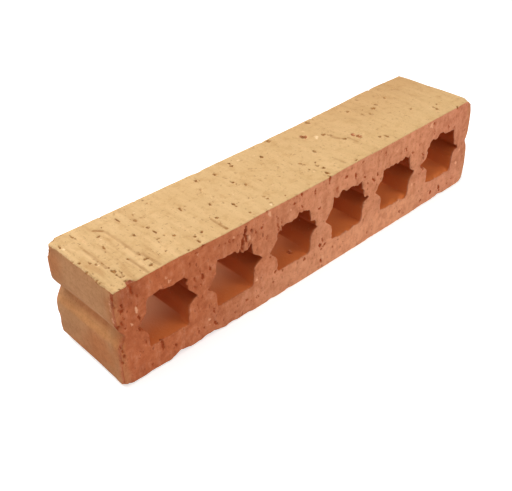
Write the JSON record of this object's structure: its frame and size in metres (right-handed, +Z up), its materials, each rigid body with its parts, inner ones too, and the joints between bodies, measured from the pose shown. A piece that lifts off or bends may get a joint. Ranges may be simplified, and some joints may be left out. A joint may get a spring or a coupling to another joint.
{
  "type": "clay brick",
  "caption": "Long slim fired clay facing brick with a row of notched through cores, grooved ends and a buff upper face, made to split lengthwise into two slips.",
  "frame": {"origin": "middle of the brick's underside, on the surface it lies on", "axes": "+X along the length, +Y along the cores from the front wire-cut face to the back one, +Z up to the buff face"},
  "size_m": [0.25, 0.05, 0.0535],
  "materials": {
    "fired_clay": "matt fired terracotta clay with a thin buff engobe on the upper face"
  },
  "bodies": {
    "root": {"brick": "fired_clay"}
  },
  "joints": []
}
